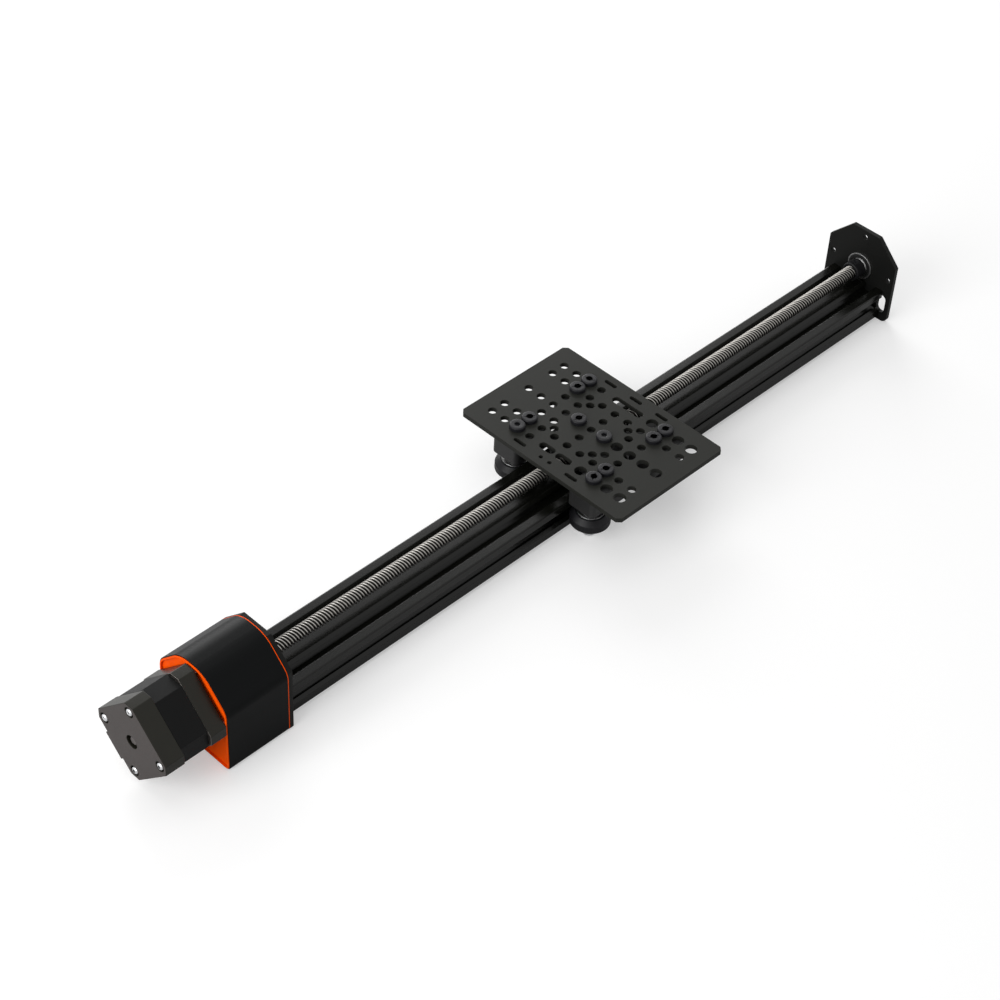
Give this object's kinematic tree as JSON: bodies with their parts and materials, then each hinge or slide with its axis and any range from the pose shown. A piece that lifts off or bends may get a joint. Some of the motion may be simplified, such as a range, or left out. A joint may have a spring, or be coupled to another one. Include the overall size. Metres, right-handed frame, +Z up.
{
  "type": "lead screw linear module",
  "caption": "Motor-driven linear module: a V-slot rail with a wheeled carriage plate, a lead screw above it, end plates, a stepper motor and a house-shaped coupling cover.",
  "frame": {"origin": "middle of the rail's underside, half way along the extrusion", "axes": "+X along the rail, away from the motor; +Z up, from the rail to the carriage plate; +Y to the back"},
  "size_m": [0.5919, 0.125, 0.0598],
  "materials": {
    "black_anodised": "satin black anodised",
    "grey_anodised": "dark grey brushed and anodised",
    "screw_steel": "rolled thread, bright crests",
    "bright_steel": "ground",
    "zinc_steel": "zinc plated",
    "black_steel": "black oxide",
    "collar_black": "black oxide",
    "black_acetal": "satin moulded",
    "tyre_black": "turned acetal, fine rings",
    "skin_black": "satin, faint grain",
    "liner_orange": "matt orange",
    "motor_cast": "dark coated casting",
    "stator_black": "black laminated steel",
    "coupling_aluminium": "turned",
    "spacer_aluminium": "turned",
    "rotor_steel": "ground laminations",
    "socket_plastic": "off-white moulded",
    "pin_brass": "tinned brass"
  },
  "bodies": {
    "frame": {"rail": "black_anodised", "end_plate_motor": "black_anodised", "end_plate_far": "black_anodised", "rail_screws_motor": "black_steel", "rail_screws_far": "black_steel", "bearing_outer_motor": "bright_steel", "bearing_outer_far": "bright_steel", "cover_skin": "skin_black", "cover_liner": "liner_orange", "motor_standoffs": "spacer_aluminium", "motor_mount_screws": "black_steel", "motor_front_cap": "motor_cast", "motor_stator": "stator_black", "motor_rear_cap": "motor_cast", "motor_rear_screws": "zinc_steel", "motor_bearings_outer": "bright_steel", "motor_connector": "socket_plastic", "connector_pins": "pin_brass"},
    "drive_screw": {"lead_screw": "screw_steel", "shaft_coupling": "coupling_aluminium", "coupling_screws": "black_steel", "motor_shaft": "bright_steel", "motor_rotor": "rotor_steel", "motor_bearings_inner": "bright_steel", "lock_collar_motor": "collar_black", "lock_collar_far": "collar_black", "collar_screws": "black_steel", "thrust_shims": "bright_steel", "bearing_inner_motor": "bright_steel", "bearing_inner_far": "bright_steel"},
    "carriage": {"gantry_plate": "grey_anodised", "nut_block": "black_acetal", "nut_block_screws": "black_steel", "wheel_block_motor_front": "black_acetal", "wheel_block_motor_back": "black_acetal", "wheel_block_far_front": "black_acetal", "wheel_block_far_back": "black_acetal", "block_screws": "black_steel", "axle_screws": "black_steel", "axle_nuts": "zinc_steel", "wheel_shims": "bright_steel", "wheel_bearings_inner": "bright_steel"},
    "wheel_motor_front": {"wheel_tyre_motor_front": "tyre_black", "wheel_bearings_motor_front": "bright_steel"},
    "wheel_motor_back": {"wheel_tyre_motor_back": "tyre_black", "wheel_bearings_motor_back": "bright_steel"},
    "wheel_far_front": {"wheel_tyre_far_front": "tyre_black", "wheel_bearings_far_front": "bright_steel"},
    "wheel_far_back": {"wheel_tyre_far_back": "tyre_black", "wheel_bearings_far_back": "bright_steel"}
  },
  "joints": [
    {"name": "carriage_slide", "type": "slide", "parent": "frame", "child": "carriage", "axis": [1, 0, 0], "range_m": [-0.204, 0.204]},
    {"name": "screw_spin", "type": "hinge", "parent": "frame", "child": "drive_screw", "pos_m": [0, 0, 0.029], "axis": [1, 0, 0], "range_deg": [-9181, 9181]},
    {"name": "wheel_spin_motor_front", "type": "hinge", "parent": "carriage", "child": "wheel_motor_front", "pos_m": [-0.03, -0.03, 0.01], "axis": [0, 0, 1], "range_deg": [-1080, 1080]},
    {"name": "wheel_spin_motor_back", "type": "hinge", "parent": "carriage", "child": "wheel_motor_back", "pos_m": [-0.03, 0.03, 0.01], "axis": [0, 0, 1], "range_deg": [-1080, 1080]},
    {"name": "wheel_spin_far_front", "type": "hinge", "parent": "carriage", "child": "wheel_far_front", "pos_m": [0.03, -0.03, 0.01], "axis": [0, 0, 1], "range_deg": [-1080, 1080]},
    {"name": "wheel_spin_far_back", "type": "hinge", "parent": "carriage", "child": "wheel_far_back", "pos_m": [0.03, 0.03, 0.01], "axis": [0, 0, 1], "range_deg": [-1080, 1080]}
  ],
  "couplings": [
    {"joint": "screw_spin", "follows": "carriage_slide", "rad_per_m": -785.4},
    {"joint": "wheel_spin_motor_front", "follows": "carriage_slide", "rad_per_m": 92.166},
    {"joint": "wheel_spin_motor_back", "follows": "carriage_slide", "rad_per_m": -92.166},
    {"joint": "wheel_spin_far_front", "follows": "carriage_slide", "rad_per_m": 92.166},
    {"joint": "wheel_spin_far_back", "follows": "carriage_slide", "rad_per_m": -92.166}
  ]
}
